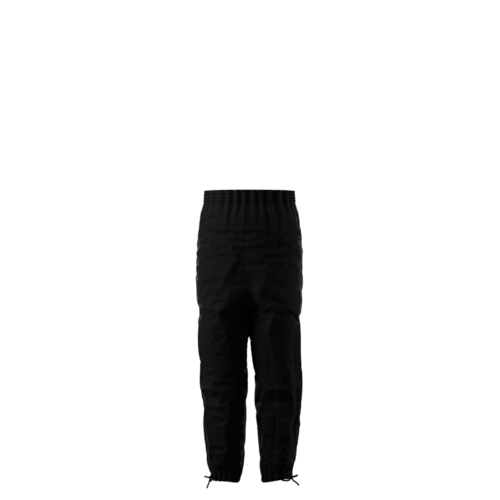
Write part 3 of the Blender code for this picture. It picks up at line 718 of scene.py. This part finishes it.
for side in SIDES:
    for face in FACES:
        levels = np.linspace(PANEL_TOP, PANEL_END, PANEL_ROWS + 1)
        rows = np.array([panel_row(side, face, z) for z in levels])
        turn, from_side, from_inner = rows.transpose(1, 0, 2)
        height = np.broadcast_to(levels[:, None], turn.shape)
        out = seam_shape(from_side, height, face == "back") + np.where(
            lies_under(side, face, height), seam_shape(from_inner, height, True),
            seam_shape(from_inner, height, False))
        free = ramp(PANEL_TOP, -26 * MM, height) * ramp(PANEL_END, -958 * MM, height)
        out = out * free - PANEL_INSET * (1 - free)
        points = cloth_point(side, turn, height, out)
        wear = (0.8 * bell(from_side, 2 * MM) + 0.8 * bell(from_inner, 2 * MM)
                + 0.25 * ramp(-940 * MM, -966 * MM, height))
        uv = np.stack([from_side + 0.37 * (SIDES[side] + 1) + 0.2 * FACES[face], height], axis=-1)
        mesh = grid_mesh(f"{face}_{side}_cloth", points, uv, wear, flip=SIDES[side] * FACES[face] < 0)
        panel = show(f"{face}_{side}_cloth", mesh, cotton)
        thick = panel.modifiers.new("thickness", "SOLIDIFY")
        thick.thickness = CLOTH_THICKNESS
        thick.offset = -1
        fit(panel, f"{face}_{side}")


# Waistband
# One strip of the same cotton, folded over a 38 mm elastic and stitched through it in three rows while
# it is stretched, so that it springs back into gathers. The legs' gathered tops are sewn into it.
BAND_TOP = 20 * MM
BAND_ROWS = (11 * MM, 0.0, -11 * MM)
BAND_WALL = 3.0 * MM
BAND_STATIONS = 360             # along each half
BAND_PUCKER = 0.7 * MM
BAND_PUFF = 1.2 * MM            # how far it stands out between its rows of stitches
BAND_ROW_DIP = 1.1 * MM
BAND_EDGE_DIP = 1.0 * MM
OUTER_STEPS = 29                # down the outer face of a band, and up its inner one
INNER_STEPS = 11


def band_pucker(share, z):
    """The small puckers that the elastic draws between the rows of stitches, a different set in each."""
    channel = np.searchsorted(-np.array(BAND_ROWS), -z)
    run = 57 * share + 2.1 * channel
    wave = np.sin(FULL_TURN * run + 1.8 * np.sin(0.37 * run) + 1.1 * np.sin(1.9 * run + channel))
    broken = 0.55 + 0.45 * np.sin(0.83 * run + 1.7 * channel)
    near_row = 1.0
    for row in BAND_ROWS:
        near_row = near_row - 0.7 * bell(z - row, 2.4 * MM)
    return BAND_PUCKER * wave * broken * near_row * ramp(1.0, 0.96, np.abs(share))


def waist_ring(heights, outs):
    """Points round the waistband at the given heights, each a distance out."""
    rings = []
    for side, way in SIDES.items():
        share = np.linspace(way, -way, BAND_STATIONS, endpoint=False)[:, None]
        z = np.broadcast_to(np.array(heights)[None, :], (BAND_STATIONS, len(heights)))
        small = band_pucker(share * way, z) * (np.array(outs)[None, :] > 0)
        rings.append(cloth_point(side, share * inner_turn(side, z), z, outs + small))
    return np.concatenate(rings)


def band_bulge(z, top, bottom, rows):
    """The outer face of a stitched band: puffed between its rows of stitches and rounded at its edges."""
    bulge = BAND_PUFF
    for row in rows:
        bulge = bulge - BAND_ROW_DIP * bell(z - row, 2.0 * MM)
    for edge in (top, bottom):
        bulge = bulge - BAND_EDGE_DIP * bell(z - edge, 1.6 * MM)
    return bulge


def band_profile(top, bottom, wall, bulge):
    """(height, out) round a folded band's section: down its outer face and up its inner one."""
    outer = np.linspace(top, bottom, OUTER_STEPS)
    inner = np.linspace(bottom, top, INNER_STEPS)
    heights = np.concatenate([outer, [bottom - 0.5 * MM], inner, [top + 0.5 * MM]])
    outs = np.concatenate([bulge(outer), [-wall / 2], np.full(INNER_STEPS, -wall), [-wall / 2]])
    return heights, outs


def ring_piece(name, points, heights, node):
    """A closed band of cloth, with its UVs along and across it."""
    line = points[:, OUTER_STEPS // 2]
    steps = np.linalg.norm(np.roll(line, -1, axis=0) - line, axis=1)
    along = np.concatenate([[0], np.cumsum(steps)])
    across = np.concatenate([[0], np.cumsum(np.full(len(heights), abs(heights[1] - heights[0])))])
    uv = np.stack(np.broadcast_arrays(along[:, None], across[None, :]), axis=-1)
    from_edge = np.minimum(heights.max() - heights, heights - heights.min())
    wear = np.broadcast_to(0.5 * bell(from_edge, 2.5 * MM), points.shape[:2])
    mesh = grid_mesh(name, points, uv, wear, closed_rows=True, closed_columns=True, flip=True)
    piece = show(name, mesh, cotton)
    fit(piece, node)


def waist_bulge(z):
    return band_bulge(z, BAND_TOP, WAIST_SEAM, BAND_ROWS)


heights, outs = band_profile(BAND_TOP, WAIST_SEAM, BAND_WALL, waist_bulge)
ring_piece("waistband_cloth", waist_ring(heights, outs), heights, "waistband")

# Hem casings
# The foot of each leg is turned up 20 mm and stitched down to make a channel for the ankle cord. Drawn
# up by the cord, it gathers the leg, and the cord shows as a soft roll near its lower edge.
CASING_BOTTOM = -984 * MM
CASING_ROW = -966.8 * MM
CORD_ROLL = -977 * MM
CORD_ROLL_HEIGHT = 1.1 * MM
CASING_WALL = 3.2 * MM
CASING_STATIONS = 320


def casing_bulge(z):
    stitched = band_bulge(z, HEM_SEAM, CASING_BOTTOM, (CASING_ROW,))
    return stitched + CORD_ROLL_HEIGHT * bell(z - CORD_ROLL, 4 * MM)


heights, outs = band_profile(HEM_SEAM, CASING_BOTTOM, CASING_WALL, casing_bulge)
for side in SIDES:
    turn = np.linspace(math.pi, -math.pi, CASING_STATIONS, endpoint=False)[::SIDES[side], None]
    z = np.broadcast_to(heights[None, :], (CASING_STATIONS, len(heights)))
    points = cloth_point(side, turn, z, np.broadcast_to(outs, z.shape))
    ring_piece(f"hem_casing_{side}_cloth", points, heights, f"hem_casing_{side}")

# Ankle cords
# A round braided cotton cord, 6 mm thick, runs in each hem casing. It comes out at the outer front and
# is tied there in a small bow: a knot, two loops and two tails. The routes are in millimetres from the
# knot's middle: forward round the leg, outward, and up.
CORD_DIAMETER = 6 * MM
KNOT_HALF = (8, 6.5, 7.5)
KNOT_GAP = 0.3 * MM
KNOTS = {
    "left": {"place": (141.9, -35.5, -961), "turn": 37},
    "right": {"place": (-133, -26.2, -965), "turn": 28},
}
CORD_ROUTES = {
    "left": {
        "loop_front": ((11, 3, 11), (17, 5, 17), (25, 4, 18), (32, 0, 12), (31, -3, 3), (23, -1, -2),
                       (14, 1, -2)),
        "loop_back": ((-3, 12, 4), (-10, 16, 6), (-18, 14, 5), (-24, 8, 2), (-24, 0, -1), (-18, -4, -3),
                      (-12, -3, -4)),
        "tail_front": ((6, -2, -9), (11, -4, -10.5), (17, -6, -10.5), (24, -8, -9.5), (30, -11, -8),
                       (34, -14, -6.5)),
        "tail_back": ((-3, 8, -11), (-7, 12, -15), (-11, 16, -19.5), (-14, 20, -24), (-16, 22, -28)),
    },
    "right": {
        "loop_front": ((11, 3, 11), (17, 5, 17), (25, 3, 18), (31, -1, 12), (30, -4, 3), (23, -3, -3),
                       (14, 0, -3)),
        "loop_back": ((-3, 12, 3), (-9, 15.5, 4), (-17, 14, 3), (-23, 8, 1), (-24, 0, -1), (-18, -4, -3),
                      (-12, -3, -3)),
        "tail_front": ((1, 6, -12), (1, 8, -18), (1, 11, -24), (0, 13, -30), (0, 15, -34.5)),
        "tail_back": ((-5, -4, -11.5), (-10, -6, -13.5), (-17, -9, -13.5), (-25, -14, -11.5),
                      (-32, -19, -9)),
    },
}
# The knot itself: one turn of the cord laid slantwise round the others, and the two ends that come out
# of the casing behind it.
KNOT_WRAP = ((-2.5, -3.6, 2.0), (-2.0, -0.5, 4.9), (-0.9, 3.4, 3.0), (0.2, 4.2, -0.6), (1.2, 2.6, -3.9),
             (1.9, -0.6, -4.7), (2.3, -3.6, -2.2))
KNOT_ENDS = (((2.0, 0.5, 0.5), (3.2, -5.5, -0.5), (3.8, -11.5, -1.5)),
             ((-2.0, 0.5, -0.5), (-3.0, -5.5, -1.0), (-3.8, -11.5, -2.0)))


def knot_frame(side):
    """The knot's middle, and its forward, outward and up directions as rows."""
    turn = math.radians(KNOTS[side]["turn"])
    outward = np.array([SIDES[side] * math.cos(turn), -math.sin(turn), 0.0])
    forward = np.array([-SIDES[side] * math.sin(turn), -math.cos(turn), 0.0])
    return np.array(KNOTS[side]["place"]) * MM, np.array([forward, outward, [0.0, 0.0, 1.0]])


def knot_exit(toward):
    """The point just off the knot's surface on the line from its middle to a point of a route."""
    half = np.array(KNOT_HALF) * MM
    reach = 1 / np.linalg.norm(toward / half)
    return toward * (reach + KNOT_GAP / np.linalg.norm(toward))


def smooth_route(points, spacing):
    """Points at an even spacing along a smooth curve through the given ones."""
    points = np.array(points)
    padded = np.concatenate([2 * points[:1] - points[1:2], points, 2 * points[-1:] - points[-2:-1]])
    fine = []
    for p, q, r, s in zip(padded, padded[1:], padded[2:], padded[3:]):
        for t in np.linspace(0, 1, 20, endpoint=False):
            fine.append(0.5 * (2 * q + (r - p) * t + (2 * p - 5 * q + 4 * r - s) * t**2
                               + (3 * q - p - 3 * r + s) * t**3))
    fine = np.array(fine + [points[-1]])
    travelled = np.concatenate([[0], np.cumsum(np.linalg.norm(np.diff(fine, axis=0), axis=1))])
    count = max(4, round(travelled[-1] / spacing) + 1)
    at = np.linspace(0, travelled[-1], count)
    return np.stack([np.interp(at, travelled, fine[:, k]) for k in range(3)], axis=1)


# The cord is braided from eight flat strands in black cotton, which gives it a fine diamond relief.
BRAID_PITCH = 5 * MM
BRAID_RELIEF = 0.18 * MM
# The cord's two colours: the darker is painted shade in the hollows between the braid's strands, the paler
# a painted highlight on the raised strands, with the lint's random tone between them.
BRAID_SHADE_AND_HIGHLIGHT = ("#080709", "#151216")
LINT_RELIEF = 0.2 * MM


def braided_cotton(name):
    material, tree, shader = new_material(name)
    place = add_node(tree, "ShaderNodeTexCoord").outputs["Object"]
    lint = add_node(tree, "ShaderNodeTexNoise", {
        "Vector": place, "Scale": 900.0, "Detail": 3.0}).outputs["Fac"]
    raised = add_node(tree, "ShaderNodeAttribute", attribute_name="relief").outputs["Fac"]
    # Painted highlight on the raised strands and painted shade in the hollows between them, read from the
    # braid's relief, plus the lint's random tone.
    crest_highlight_and_lint = maths(tree, "MULTIPLY_ADD", raised, 0.6, lint)
    colour = blend(tree, crest_highlight_and_lint, linear(BRAID_SHADE_AND_HIGHLIGHT[0]), linear(BRAID_SHADE_AND_HIGHLIGHT[1]))
    bump = add_node(tree, "ShaderNodeBump", {
        "Height": lint, "Strength": 0.5, "Distance": LINT_RELIEF}).outputs[0]
    feed(tree, shader, {
        "Base Color": colour, "Roughness": 0.8, "Specular IOR Level": 0.08, "Sheen Weight": 0.03,
        "Sheen Roughness": 0.4, "Normal": bump})
    return material


def new_tree(name, inputs):
    """A new tree that makes geometry from the named inputs, and the sockets that give them."""
    tree = bpy.data.node_groups.new(name, "GeometryNodeTree")
    for key, kind in {"Geometry": "Geometry", **inputs, "Material": "Material"}.items():
        tree.interface.new_socket(key, in_out="INPUT", socket_type="NodeSocket" + kind)
    tree.interface.new_socket("Geometry", in_out="OUTPUT", socket_type="NodeSocketGeometry")
    return tree, add_node(tree, "NodeGroupInput").outputs


def stored(tree, geometry, name, value):
    """Geometry that keeps a value under a name at each of its points."""
    return add_node(tree, "GeometryNodeStoreNamedAttribute", {
        "Geometry": geometry, "Name": name, "Value": value}, domain="POINT").outputs[0]


def end_tree(tree, made, material):
    """Ends a tree in smooth plain faces of one material."""
    real = add_node(tree, "GeometryNodeRealizeInstances", {"Geometry": made}).outputs[0]
    smooth = add_node(tree, "GeometryNodeSetShadeSmooth", {"Geometry": real}).outputs[0]
    done = add_node(tree, "GeometryNodeSetMaterial", {"Geometry": smooth, "Material": material}).outputs[0]
    add_node(tree, "NodeGroupOutput", {"Geometry": done})


def braid_tree():
    """Sweeps a round section along a curve and raises the braid's strands on it."""
    tree, given = new_tree("braided cord", {"Diameter": "Float", "Pitch": "Float", "Relief": "Float"})
    radius = maths(tree, "MULTIPLY", given["Diameter"], 0.5)
    line = add_node(tree, "GeometryNodeMeshToCurve", {"Mesh": given["Geometry"]}).outputs[0]
    travelled = add_node(tree, "GeometryNodeSplineParameter").outputs["Length"]
    kept = stored(tree, line, "along", travelled)
    circle = add_node(tree, "GeometryNodeCurvePrimitiveCircle", {
        "Resolution": 20, "Radius": radius}).outputs[0]
    share = add_node(tree, "GeometryNodeSplineParameter").outputs["Factor"]
    circle = stored(tree, circle, "around", share)
    tube = add_node(tree, "GeometryNodeCurveToMesh", {
        "Curve": kept, "Profile Curve": circle, "Fill Caps": True}).outputs[0]
    along = add_node(tree, "GeometryNodeInputNamedAttribute", {"Name": "along"}).outputs[0]
    around = add_node(tree, "GeometryNodeInputNamedAttribute", {"Name": "around"}).outputs[0]
    turned = maths(tree, "MULTIPLY", around, 4 * FULL_TURN)
    wound = maths(tree, "DIVIDE", along, given["Pitch"])
    wound = maths(tree, "MULTIPLY", wound, FULL_TURN)
    crossings = []
    for way in ("ADD", "SUBTRACT"):
        angle = maths(tree, way, turned, wound)
        crossings.append(maths(tree, "SINE", angle))
    raised = maths(tree, "MULTIPLY", *crossings)
    kept = stored(tree, tube, "relief", raised)
    amount = maths(tree, "MULTIPLY", raised, given["Relief"])
    normal = add_node(tree, "GeometryNodeInputNormal").outputs[0]
    offset = add_node(tree, "ShaderNodeVectorMath", {
        0: normal, "Scale": amount}, operation="SCALE").outputs[0]
    moved = add_node(tree, "GeometryNodeSetPosition", {"Geometry": kept, "Offset": offset}).outputs[0]
    end_tree(tree, moved, given["Material"])
    return tree


def grown(name, lines, tree, inputs, attributes=None):
    """The plain mesh that a node tree makes of some lines of points."""
    points, edges = [], []
    for line in lines:
        edges += [(len(points) + i, len(points) + i + 1) for i in range(len(line) - 1)]
        points += [tuple(point) for point in line]
    mesh = bpy.data.meshes.new(name + " lines")
    mesh.from_pydata(points, edges, [])
    for key, values in (attributes or {}).items():
        mesh.attributes.new(key, "FLOAT_VECTOR", "POINT").data.foreach_set(
            "vector", np.asarray(values, np.float32).ravel())
    guide = bpy.data.objects.new(name + " lines", mesh)
    bpy.context.scene.collection.objects.link(guide)
    modifier = guide.modifiers.new("grow", "NODES")
    modifier.node_group = tree
    sockets = {item.name: item.identifier for item in tree.interface.items_tree if item.in_out == "INPUT"}
    for key, value in inputs.items():
        modifier[sockets[key]] = value
    graph = bpy.context.evaluated_depsgraph_get()
    graph.update()
    made = bpy.data.meshes.new_from_object(guide.evaluated_get(graph))
    made.name = name
    bpy.data.objects.remove(guide)
    return made


braid = braid_tree()
braid_inputs = {"Diameter": CORD_DIAMETER, "Pitch": BRAID_PITCH, "Relief": BRAID_RELIEF,
                "Material": braided_cotton("black braided cotton cord")}
CORD_STEP = 0.9 * MM
TAIL_START = 0.15               # a tail starts inside the knot, this share of the way out of it
LOOP_END = (1.12, 0.6, 0.15)    # a loop's end runs on into the knot, past these shares of the way
for side in SIDES:
    middle, axes = knot_frame(side)
    strands = [np.array(KNOT_WRAP) * MM] + [np.array(end) * MM for end in KNOT_ENDS]
    routes = {}
    for name, route in CORD_ROUTES[side].items():
        route = list(np.array(route) * MM)
        start, end = knot_exit(route[0]), knot_exit(route[-1])
        if name.startswith("loop"):
            strands += [[point * share for share in LOOP_END] for point in (start, end)]
            routes[name] = [start] + route + [end]
        else:
            routes[name] = [start * TAIL_START, start] + route
    lines = [middle + smooth_route(strand, CORD_STEP) @ axes for strand in strands]
    knot = show(f"tie_{side}_knot_cord", grown(f"tie_{side}_knot_cord", lines, braid, braid_inputs))
    fit(knot, f"tie_{side}_knot")
    for name, route in routes.items():
        path = middle + smooth_route(route, CORD_STEP) @ axes
        node = f"tie_{side}_{name}"
        cord = show(node + "_cord", grown(node + "_cord", [path], braid, braid_inputs))
        fit(cord, node)

# Stitching
# Black polyester-cotton thread in a 3 mm lockstitch: along the felled seams, through the waistband and
# its elastic, and round the top of each hem casing. The thread is drawn a little stout, so that it shows.
STITCH_LENGTH = 2.6 * MM
STITCH_PITCH = 3.3 * MM
THREAD = 0.75 * MM
THREAD_COLOURS = ("#100E11", "#201C21")


def spun_thread(name):
    material, tree, shader = new_material(name)
    place = add_node(tree, "ShaderNodeTexCoord").outputs["Object"]
    twist = add_node(tree, "ShaderNodeTexNoise", {
        "Vector": place, "Scale": 1500.0, "Detail": 2.0}).outputs["Fac"]
    colour = blend(tree, twist, linear(THREAD_COLOURS[0]), linear(THREAD_COLOURS[1]))
    feed(tree, shader, {"Base Color": colour, "Roughness": 0.6, "Specular IOR Level": 0.35})
    return material


thread = spun_thread("black polyester-cotton thread")


def stitch_tree():
    """Lays short bowed lengths of thread end to end along lines, with their backs to each line's 'away'."""
    tree, given = new_tree("stitches", {
        "Length": "Float", "Pitch": "Float", "Thickness": "Float", "Seed": "Int"})
    line = add_node(tree, "GeometryNodeMeshToCurve", {"Mesh": given["Geometry"]}).outputs[0]
    spaced = add_node(tree, "GeometryNodeResampleCurve", {
        "Curve": line, "Length": given["Pitch"]}, mode="LENGTH").outputs[0]
    along = add_node(tree, "GeometryNodeInputTangent").outputs[0]
    away = add_node(tree, "GeometryNodeInputNamedAttribute", {"Name": "away"},
                    data_type="FLOAT_VECTOR").outputs[0]
    facing = add_node(tree, "FunctionNodeAlignRotationToVector", {"Vector": away}, axis="Z").outputs[0]
    facing = add_node(tree, "FunctionNodeAlignRotationToVector", {
        "Rotation": facing, "Vector": along}, axis="X", pivot_axis="Z").outputs[0]
    back, half, low, high, radius = (
        maths(tree, "MULTIPLY", given[size], share)
        for size, share in (("Length", -0.5), ("Length", 0.5), ("Thickness", -0.45), ("Thickness", 0.9),
                            ("Thickness", 0.5)))
    start = add_node(tree, "ShaderNodeCombineXYZ", {"X": back, "Z": low}).outputs[0]
    crown = add_node(tree, "ShaderNodeCombineXYZ", {"Z": high}).outputs[0]
    end = add_node(tree, "ShaderNodeCombineXYZ", {"X": half, "Z": low}).outputs[0]
    bow = add_node(tree, "GeometryNodeCurveQuadraticBezier", {
        "Resolution": 4, "Start": start, "Middle": crown, "End": end}).outputs[0]
    profile = add_node(tree, "GeometryNodeCurvePrimitiveCircle", {
        "Resolution": 5, "Radius": radius}).outputs[0]
    stitch = add_node(tree, "GeometryNodeCurveToMesh", {
        "Curve": bow, "Profile Curve": profile, "Fill Caps": True}).outputs[0]
    uneven_size = add_node(tree, "FunctionNodeRandomValue", {
        "Min": (0.9, 0.85, 0.85), "Max": (1.06, 1.1, 1.1), "Seed": given["Seed"]},
        data_type="FLOAT_VECTOR").outputs[0]
    laid = add_node(tree, "GeometryNodeInstanceOnPoints", {
        "Points": spaced, "Instance": stitch, "Rotation": facing, "Scale": uneven_size}).outputs[0]
    end_tree(tree, laid, given["Material"])
    return tree


def surface_line(side, turn, z, out):
    """A line on the cloth for stitches to follow, and the way off the cloth at each of its points."""
    line = cloth_point(side, turn, z, out)
    above = cloth_point(side, turn, z, out + MM)
    return line, (above - line) / MM


def seam_line(side, face, z, from_side):
    """The topstitching of a felled seam, 6 mm from the side seam or from the inner one."""
    turn = []
    for height in z:
        turns, length, width = measured_row(side, face, height)
        at = STITCH_FROM_SEAM if from_side else width - STITCH_FROM_SEAM
        turn.append(np.interp(at, length, turns))
    out = seam_shape(np.full(z.shape, STITCH_FROM_SEAM), z, False)
    return surface_line(side, np.array(turn), z, out)


def ring_line(turns_of_sides, z, out):
    """A row of stitches all round, closed on itself."""
    parts = [surface_line(side, turn, np.full(turn.shape, z), np.full(turn.shape, out))
             for side, turn in turns_of_sides]
    line, away = (np.concatenate([part[k] for part in parts]) for k in (0, 1))
    return np.concatenate([line, line[:1]]), np.concatenate([away, away[:1]])


def sew(name, seed, lines):
    """A piece made of all the stitches of some lines."""
    away = np.concatenate([line[1] for line in lines])
    mesh = grown(name, [line[0] for line in lines], stitches, {
        "Length": STITCH_LENGTH, "Pitch": STITCH_PITCH, "Thickness": THREAD, "Seed": seed,
        "Material": thread}, {"away": away})
    piece = show(name, mesh)
    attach(piece, "root")


stitches = stitch_tree()
SEAM_TOP = -21 * MM
SEAM_END = -962 * MM
BODY_END = -386 * MM            # the crotch, where the centre seams end and the inseams start
LEGS_TOP = -394 * MM
LINE_STEPS = 420
full_length = np.linspace(SEAM_TOP, SEAM_END, LINE_STEPS)
legs_only = np.linspace(LEGS_TOP, SEAM_END, LINE_STEPS)
body_only = np.linspace(SEAM_TOP, BODY_END, LINE_STEPS)
for number, side in enumerate(SIDES):
    sew(f"side_seam_stitches_{side}", seed=11 + number,
        lines=[seam_line(side, "front", full_length, from_side=True)])
    sew(f"inseam_stitches_{side}", seed=21 + number,
        lines=[seam_line(side, "front", legs_only, from_side=False)])
sew("centre_seam_stitches", seed=31,
    lines=[seam_line("right", face, body_only, from_side=False) for face in FACES])

waist_rows = []
for row in BAND_ROWS:
    turns = []
    for side, way in SIDES.items():
        share = np.linspace(way, -way, LINE_STEPS, endpoint=False)
        turns.append((side, share * inner_turn(side, np.full(share.shape, row))))
    waist_rows.append(ring_line(turns, row, waist_bulge(row)))
sew("waistband_stitches", seed=41, lines=waist_rows)
round_leg = np.linspace(math.pi, -math.pi, LINE_STEPS, endpoint=False)
for number, side in enumerate(SIDES):
    sew(f"hem_casing_stitches_{side}", seed=51 + number,
        lines=[ring_line([(side, round_leg)], CASING_ROW, casing_bulge(CASING_ROW))])

# Room, light and camera
# A plain white studio floor under a white background. The floor is lit from overhead on its own, so that
# it stays white. A soft light stands at the upper left of the trousers, weaker ones before them and at
# their right, and two behind them.
FLOOR = -1.075
FLOOR_HALF_WIDTH = 9.0
FLOOR_TILES = 8
PAPER_COLOURS = ("#F4F4F4", "#F7F7F7")


def paper(name):
    material, tree, shader = new_material(name)
    place = add_node(tree, "ShaderNodeTexCoord").outputs["Object"]
    mottle = add_node(tree, "ShaderNodeTexNoise", {
        "Vector": place, "Scale": 3.0, "Detail": 2.0}).outputs["Fac"]
    colour = blend(tree, mottle, linear(PAPER_COLOURS[0]), linear(PAPER_COLOURS[1]))
    feed(tree, shader, {"Base Color": colour, "Roughness": 0.9, "Specular IOR Level": 0.1})
    return material


across = np.linspace(-FLOOR_HALF_WIDTH, FLOOR_HALF_WIDTH, FLOOR_TILES + 1)
tiles = np.stack(np.broadcast_arrays(across[None, :], across[:, None], FLOOR), axis=-1)
floor_mesh = grid_mesh("floor", tiles, tiles[..., :2], np.zeros(tiles.shape[:2]))
floor = show("floor", floor_mesh, paper("white studio paper"))
floor.visible_diffuse = False
floor.visible_glossy = False


def lamp(name, data, place, target, power):
    """Puts a light at a place and turns it to its target."""
    data.energy = power
    made = bpy.data.objects.new(name, data)
    bpy.context.scene.collection.objects.link(made)
    made.location = place
    made.rotation_euler = (Vector(target) - Vector(place)).to_track_quat("-Z", "Y").to_euler()
    return made


def floor_linked(name, state):
    """A collection that makes a light shine on the floor alone, or on all but the floor."""
    group = bpy.data.collections.new(name)
    group.objects.link(floor)
    group.collection_objects[0].light_linking.link_state = state
    return group


ALL_BUT_FLOOR = floor_linked("all but the floor", "EXCLUDE")


def soft_light(name, place, target, size, power):
    """A wide soft light that leaves the floor alone."""
    data = bpy.data.lights.new(name, "AREA")
    data.shape = "RECTANGLE"
    data.size, data.size_y = size
    made = lamp(name, data, place, target, power)
    made.visible_camera = False
    made.light_linking.receiver_collection = ALL_BUT_FLOOR


MIDDLE = (0, 0, -0.5)
soft_light("key light", place=(-2.1, -0.75, 1.2), target=(0, 0, -0.2), size=(1.6, 1.4), power=105)
soft_light("fill light", place=(1.5, -3.1, 0.5), target=MIDDLE, size=(1.6, 2.0), power=15)
soft_light("side light", place=(3.0, 0.6, 0.8), target=MIDDLE, size=(1.2, 1.6), power=60)
soft_light("back light left", place=(-1.5, 3.1, 0.9), target=MIDDLE, size=(0.8, 1.4), power=110)
soft_light("back light right", place=(1.6, 3.1, 0.5), target=MIDDLE, size=(0.8, 1.4), power=80)
overhead = bpy.data.lights.new("floor light", "SUN")
overhead.use_shadow = False
floor_light = lamp("floor light", overhead, place=(0, 0, 3), target=(0, 0, 0), power=3.4)
floor_light.light_linking.receiver_collection = floor_linked("the floor alone", "INCLUDE")

WORLD_LIGHT = 0.10              # how strongly the white background lights the trousers
WORLD_SEEN = 1.02               # and how bright it looks
world = bpy.data.worlds.new("studio")
world.use_nodes = True
room = world.node_tree
lighting = room.nodes["Background"]
feed(room, lighting, {"Color": linear("#FFFFFF"), "Strength": WORLD_LIGHT})
seen = add_node(room, "ShaderNodeBackground", {"Color": linear("#FFFFFF"), "Strength": WORLD_SEEN})
which = add_node(room, "ShaderNodeLightPath").outputs["Is Camera Ray"]
mixed = add_node(room, "ShaderNodeMixShader", {
    0: which, 1: lighting.outputs[0], 2: seen.outputs[0]}).outputs[0]
feed(room, room.nodes["World Output"], {"Surface": mixed})
bpy.context.scene.world = world
bpy.context.scene.view_settings.view_transform = "Standard"

# The photograph's frame is 1.725 m wide where the trousers are, seen level from 4.5 m.
CAMERA_DISTANCE = 4.5
FRAME_WIDTH = 1.725
FRAME_MIDDLE = (0.0017, -0.1836)
SENSOR = 36.0
camera_data = bpy.data.cameras.new("camera")
camera_data.sensor_width = SENSOR
camera_data.lens = SENSOR * CAMERA_DISTANCE / FRAME_WIDTH
camera = bpy.data.objects.new("camera", camera_data)
camera.location = (FRAME_MIDDLE[0], -CAMERA_DISTANCE, FRAME_MIDDLE[1])
camera.rotation_euler = (math.pi / 2, 0, 0)
bpy.context.scene.collection.objects.link(camera)
bpy.context.scene.camera = camera

bpy.context.view_layer.update()
